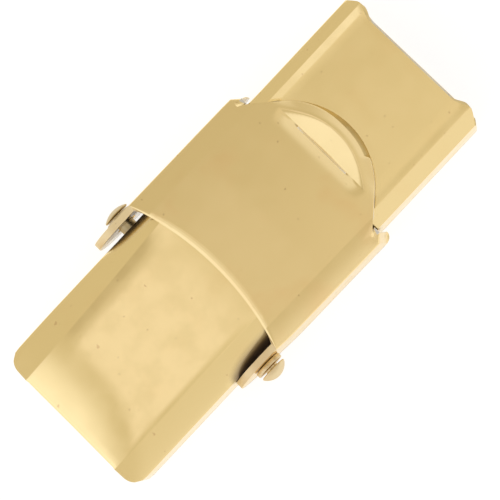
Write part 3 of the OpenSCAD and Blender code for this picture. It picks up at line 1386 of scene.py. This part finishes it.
@dataclass
class DomedRivet:
    """A short rivet: domed head outside the ear, shank, and a set end inside the body."""

    side: Side
    shank: float = 0.3
    head: float = 0.5
    head_steps: int = 12
    rim: float = 0.04
    flange: float = 0.105
    groove: float = 0.06
    neck: float = 0.24
    flange_radius: float = 0.52
    corner: float = 0.02
    inner: float = 2.63
    set_end: float = 0.42
    set_height: float = 0.16
    set_corner: float = 0.05
    head_y: float = 3.575
    tip_y: float = 3.94
    edge_limit_deg: float = 40.0
    edge_steps: int = 2

    @classmethod
    def on_side(cls, side: Side) -> "DomedRivet":
        """Makes one side's rivet: the right head stands a little nearer the middle."""
        return cls(side) if side is Side.LEFT else cls(side, head_y=3.355, flange=0.175, groove=0.09)

    @property
    def name(self) -> str:
        """Name of the rivet's node."""
        return f"rivet_{self.side.name.lower()}"

    def profile(self) -> list[Pair]:
        """Draws the rivet's outline, from its set end out to its dome.

        Returns:
            The points, as radius and distance from the clasp's middle.
        """
        base = self.head_y + self.flange + self.groove
        dome = self.tip_y - base - self.rim
        radius = (self.head**2 + dome**2) / (2 * dome)
        spread = math.degrees(math.asin(self.head / radius))
        cap = [(y, x) for x, y in arc(self.tip_y - radius, 0, radius, spread, 0, self.head_steps)]
        low, set_top, face = self.inner, self.inner + self.set_height, base - self.groove
        wide, cut = self.flange_radius, self.corner
        return [
            (0, low), (self.set_end - self.set_corner, low), (self.set_end, low + self.set_corner),
            (self.set_end, set_top), (self.shank, set_top), (self.shank, self.head_y),
            (wide - cut, self.head_y), (wide, self.head_y + cut), (wide, face - cut), (wide - cut, face),
            (self.neck, face), (self.neck, base), (self.head - cut, base), *cap,
        ]

    def build(self, hinge: Hinge) -> bpy.types.Object:
        """Turns the profile round its place on the hinge.

        Args:
            hinge: Where the rivets are.

        Returns:
            The rivet as one closed piece.
        """
        bm = bmesh.new()
        x = hinge.x_at(self.side)
        points = [bm.verts.new((x + r, self.side.value * y, hinge.z)) for r, y in self.profile()]
        edges = [bm.edges.new(pair) for pair in pairwise(points)]
        bmesh.ops.spin(
            bm, geom=points + edges, cent=(x, 0, hinge.z), axis=(0, 1, 0), dvec=(0, 0, 0), angle=2 * math.pi,
            steps=ROUND_STEPS, use_merge=True,
        )
        bmesh.ops.remove_doubles(bm, verts=bm.verts, dist=TINY)
        bmesh.ops.recalc_face_normals(bm, faces=bm.faces)
        return Workbench.make(f"{self.name}_turned", bm)

    def dress(self, piece: bpy.types.Object, plate: Plate) -> None:
        """Rounds the rivet's edges and gives it its finish.

        Args:
            piece: The built rivet.
            plate: Its finish.
        """
        piece.data.materials.append(plate.material())
        Workbench.soften(piece, self.corner, self.edge_limit_deg, self.edge_steps)
        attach(piece, "body")
        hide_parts(self.name)


@dataclass(frozen=True)
class Glow:
    """A soft patch of the room: a direction, how far it reaches, and its colour."""

    toward: tuple[float, float, float]
    core_deg: float
    fade_deg: float
    colour: Colour


@dataclass
class Studio:
    """A plain pale floor in a soft room, and the camera at the photograph's angle."""

    lean: Pair = (0.096, -0.087)
    turn_deg: float = 46.85
    distance_mm: float = 400.0
    px_per_mm: float = 30.0
    aim_mm: tuple[float, float, float] = (-0.004, -0.45, 2.95)
    frame_px: float = 500.0
    sensor_mm: float = 36.0
    clip: Pair = (0.01, 10.0)
    floor_radius: float = 1.5
    floor_segments: int = 96
    floor_albedo: float = 0.35
    floor_roughness: float = 0.9
    floor_glow: float = 0.8
    ceiling: Colour = (0.69, 0.63, 0.50)
    glows: tuple[Glow, ...] = (
        Glow((-0.12, -1, 0.05), 32, 57, (0.9, 0.86, 0.8)),
        Glow((-0.09, -0.38, 0.92), 4, 10, (1.05, 1.03, 1.05)),
        Glow((0.05, -0.16, 0.98), 3, 19, (0.82, 0.76, 0.65)),
        Glow((1, 0, 0.62), 27, 54, (0.93, 0.9, 0.86)),
        Glow((1, 0, 0), 12, 30, (0.45, 0.41, 0.36)),
        Glow((-0.16, 0.33, 0.93), 4, 10, (0.56, 0.50, 0.39)),
        Glow((-0.22, 0.09, 0.97), 3, 8, (0.97, 0.92, 0.89)),
        Glow((-0.94, 0.06, 0.34), 34, 50, (1.12, 1.12, 1.15)),
    )

    def build_floor(self) -> None:
        """Lays a round pale floor at the height the clasp rests on."""
        bm = bmesh.new()
        bmesh.ops.create_circle(bm, cap_ends=True, segments=self.floor_segments, radius=self.floor_radius)
        mesh = bpy.data.meshes.new("floor")
        bm.to_mesh(mesh)
        bm.free()
        floor = bpy.data.objects.new("floor", mesh)
        bpy.context.scene.collection.objects.link(floor)
        white = bpy.data.materials.new("pale_floor")
        white.use_nodes = True
        Wiring(white.node_tree).feed(white.node_tree.nodes["Principled BSDF"], {
            "Base Color": (*[self.floor_albedo] * 3, 1), "Roughness": self.floor_roughness,
            "Emission Color": (1, 1, 1, 1), "Emission Strength": self.floor_glow,
        })
        floor.data.materials.append(white)

    def build_world(self) -> None:
        """Surrounds the clasp with a soft room: a dim warm ceiling with paler patches on some sides."""
        world = bpy.data.worlds.new("soft_room")
        bpy.context.scene.world = world
        world.use_nodes = True
        wires = Wiring(world.node_tree, "Generated")
        colour: Colour | bpy.types.NodeSocket = self.ceiling
        for glow in self.glows:
            sides = {0: wires.place, 1: Vector(glow.toward).normalized()}
            facing = wires.add("ShaderNodeVectorMath", sides, operation="DOT_PRODUCT").outputs["Value"]
            edge, core = (math.cos(math.radians(angle)) for angle in (glow.fade_deg, glow.core_deg))
            share = wires.banded(facing, edge, core, curve="SMOOTHERSTEP")
            colour = wires.mixed(share, colour, glow.colour)
        wires.feed(world.node_tree.nodes["Background"], {"Color": colour})

    def build_camera(self) -> None:
        """Sets the camera at the photograph's angle, and the view to plain colours."""
        toward = Vector((*self.lean, 1)).normalized()
        along = Vector((1, 0, 0))
        along = (along - along.dot(toward) * toward).normalized()
        across = toward.cross(along)
        turn = math.radians(self.turn_deg)
        right = math.cos(turn) * along - math.sin(turn) * across
        up = math.sin(turn) * along + math.cos(turn) * across
        lens = bpy.data.cameras.new("camera")
        lens.sensor_width = self.sensor_mm
        lens.lens = self.px_per_mm * self.distance_mm * self.sensor_mm / self.frame_px
        lens.clip_start, lens.clip_end = self.clip
        camera = bpy.data.objects.new("camera", lens)
        place = (Vector(self.aim_mm) + toward * self.distance_mm) * MM
        camera.matrix_world = Matrix.Translation(place) @ Matrix((right, up, toward)).transposed().to_4x4()
        bpy.context.scene.collection.objects.link(camera)
        bpy.context.scene.camera = camera
        bpy.context.scene.view_settings.view_transform = "Standard"

    def build(self) -> None:
        """Builds the floor, the light and the camera."""
        self.build_floor()
        self.build_world()
        self.build_camera()


def main() -> None:
    """Builds the studio and the clasp in order."""
    logging.basicConfig(level=logging.INFO, format="%(name)s: %(message)s")
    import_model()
    Studio().build()
    hinge = Hinge()
    body = BodyTube.from_frame()
    tube = body.build()
    body.dress(tube, hinge, (GOLD_BODY, WHITE_INSIDE, GOLD_WORN_SHADED))
    log.info("%s: %d faces", tube.name, len(tube.data.polygons))
    lid = LeverLid.from_frame()
    lever = lid.build(hinge)
    lid.dress(lever, hinge, (GOLD_LID, WHITE_INSIDE, GOLD_EDGE, GOLD_WORN_SHADED, GOLD_PAINTED_HIGHLIGHT))
    log.info("%s: %d faces", lever.name, len(lever.data.polygons))
    for side in Side:
        rivet = DomedRivet.on_side(side)
        piece = rivet.build(hinge)
        # The left rivet takes the darker copy of the rivet gold as painted shade.
        rivet.dress(piece, GOLD_RIVET_SHADED if side is Side.LEFT else GOLD_RIVET)
        log.info("%s: %d faces", piece.name, len(piece.data.polygons))
    bpy.context.view_layer.update()


if __name__ == "__main__":
    main()
